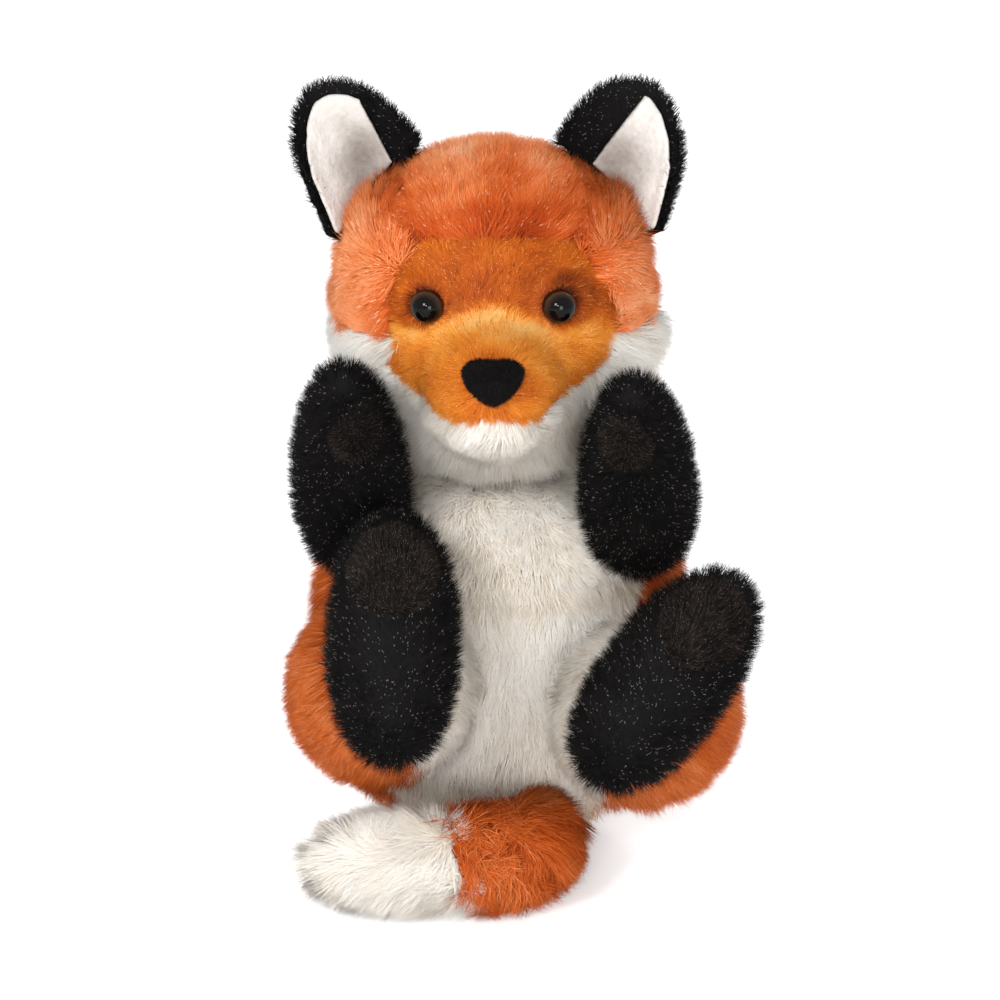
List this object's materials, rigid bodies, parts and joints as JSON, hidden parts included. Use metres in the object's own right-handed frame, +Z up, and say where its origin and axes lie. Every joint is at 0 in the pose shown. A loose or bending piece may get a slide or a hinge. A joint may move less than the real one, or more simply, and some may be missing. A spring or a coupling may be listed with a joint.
{
  "type": "plush fox",
  "caption": "Sitting plush fox: stuffed torso, head, curled felt-lined ears, black paws and feet with pads, and a white-tipped tail, each hinged at its seam.",
  "frame": {"origin": "middle of the flat of the seat, on the surface that the toy sits on", "axes": "+Z up; the face and the soles look along -Y; the toy's own left is +X"},
  "size_m": [0.0918, 0.1027, 0.1551],
  "materials": {
    "crown_fur": "matte",
    "back_fur": "matte",
    "face_fur": "matte",
    "white_fur": "matte",
    "black_fur": "matte",
    "pad_velour": "matte",
    "ear_felt": "matte",
    "nose_velour": "matte",
    "eye_plastic": "gloss",
    "washer_plastic": "satin",
    "fibre_fill": "matte",
    "bean_cloth": "matte",
    "bean_pellets": "satin"
  },
  "bodies": {
    "torso": {"seat_panel": "back_fur", "chest_panel": "white_fur", "belly_panel": "white_fur", "back_panel_left": "back_fur", "back_panel_right": "back_fur", "bean_pouch": "bean_cloth", "bean_fill": "bean_pellets", "body_stuffing": "fibre_fill"},
    "neck": {"neck_stuffing": "fibre_fill"},
    "head": {"face_mask": "face_fur", "head_crown": "crown_fur", "head_back": "back_fur", "chin": "white_fur", "temple_left": "crown_fur", "temple_right": "crown_fur", "cheek_left": "white_fur", "cheek_right": "white_fur", "head_stuffing": "fibre_fill", "nose": "nose_velour", "eye_left": "eye_plastic", "eye_right": "eye_plastic", "eye_washer_left": "washer_plastic", "eye_washer_right": "washer_plastic"},
    "ear_left": {"ear_left_back": "black_fur", "ear_left_lining": "ear_felt"},
    "ear_right": {"ear_right_back": "black_fur", "ear_right_lining": "ear_felt"},
    "arm_left": {"arm_left_plush": "black_fur", "arm_left_paw_pad": "pad_velour", "arm_left_stuffing": "fibre_fill"},
    "arm_right": {"arm_right_plush": "black_fur", "arm_right_paw_pad": "pad_velour", "arm_right_stuffing": "fibre_fill"},
    "leg_left": {"leg_left_thigh": "back_fur", "leg_left_inner_thigh": "white_fur", "leg_left_foot": "black_fur", "leg_left_sole_pad": "pad_velour", "leg_left_stuffing": "fibre_fill"},
    "leg_right": {"leg_right_thigh": "back_fur", "leg_right_inner_thigh": "white_fur", "leg_right_foot": "black_fur", "leg_right_sole_pad": "pad_velour", "leg_right_stuffing": "fibre_fill"},
    "tail": {"tail_tip": "white_fur", "tail_base": "back_fur", "tail_stuffing": "fibre_fill"}
  },
  "joints": [
    {"name": "head_tilt", "type": "hinge", "parent": "torso", "child": "neck", "pos_m": [-0.0013, -0.005, 0.0795], "axis": [0, -1, 0], "range_deg": [-6, 6]},
    {"name": "head_nod", "type": "hinge", "parent": "neck", "child": "head", "pos_m": [-0.0013, -0.005, 0.0795], "axis": [-1, 0, 0], "range_deg": [-3, 10]},
    {"name": "ear_left_bend", "type": "hinge", "parent": "head", "child": "ear_left", "pos_m": [0.0213, -0.002, 0.13378], "axis": [0.788, 0, -0.6157], "range_deg": [-8, 8], "stiffness_Nm_per_rad": 0.002},
    {"name": "ear_right_bend", "type": "hinge", "parent": "head", "child": "ear_right", "pos_m": [-0.0239, -0.002, 0.13378], "axis": [0.788, 0, 0.6157], "range_deg": [-8, 8], "stiffness_Nm_per_rad": 0.002},
    {"name": "arm_left_swing", "type": "hinge", "parent": "torso", "child": "arm_left", "pos_m": [0.0245, -0.018, 0.072], "axis": [0, -1, 0], "range_deg": [-20, 0]},
    {"name": "arm_right_swing", "type": "hinge", "parent": "torso", "child": "arm_right", "pos_m": [-0.0245, -0.018, 0.072], "axis": [0, -1, 0], "range_deg": [0, 20]},
    {"name": "leg_left_swing", "type": "hinge", "parent": "torso", "child": "leg_left", "pos_m": [0.0275, -0.01783, 0.033], "axis": [0, 0, 1], "range_deg": [0, 12]},
    {"name": "leg_right_swing", "type": "hinge", "parent": "torso", "child": "leg_right", "pos_m": [-0.0235, -0.01783, 0.037], "axis": [0, 0, 1], "range_deg": [-12, 0]},
    {"name": "tail_swing", "type": "hinge", "parent": "torso", "child": "tail", "pos_m": [0.006, -0.024, 0.0109], "axis": [0, 0, 1], "range_deg": [-10, 10]}
  ]
}
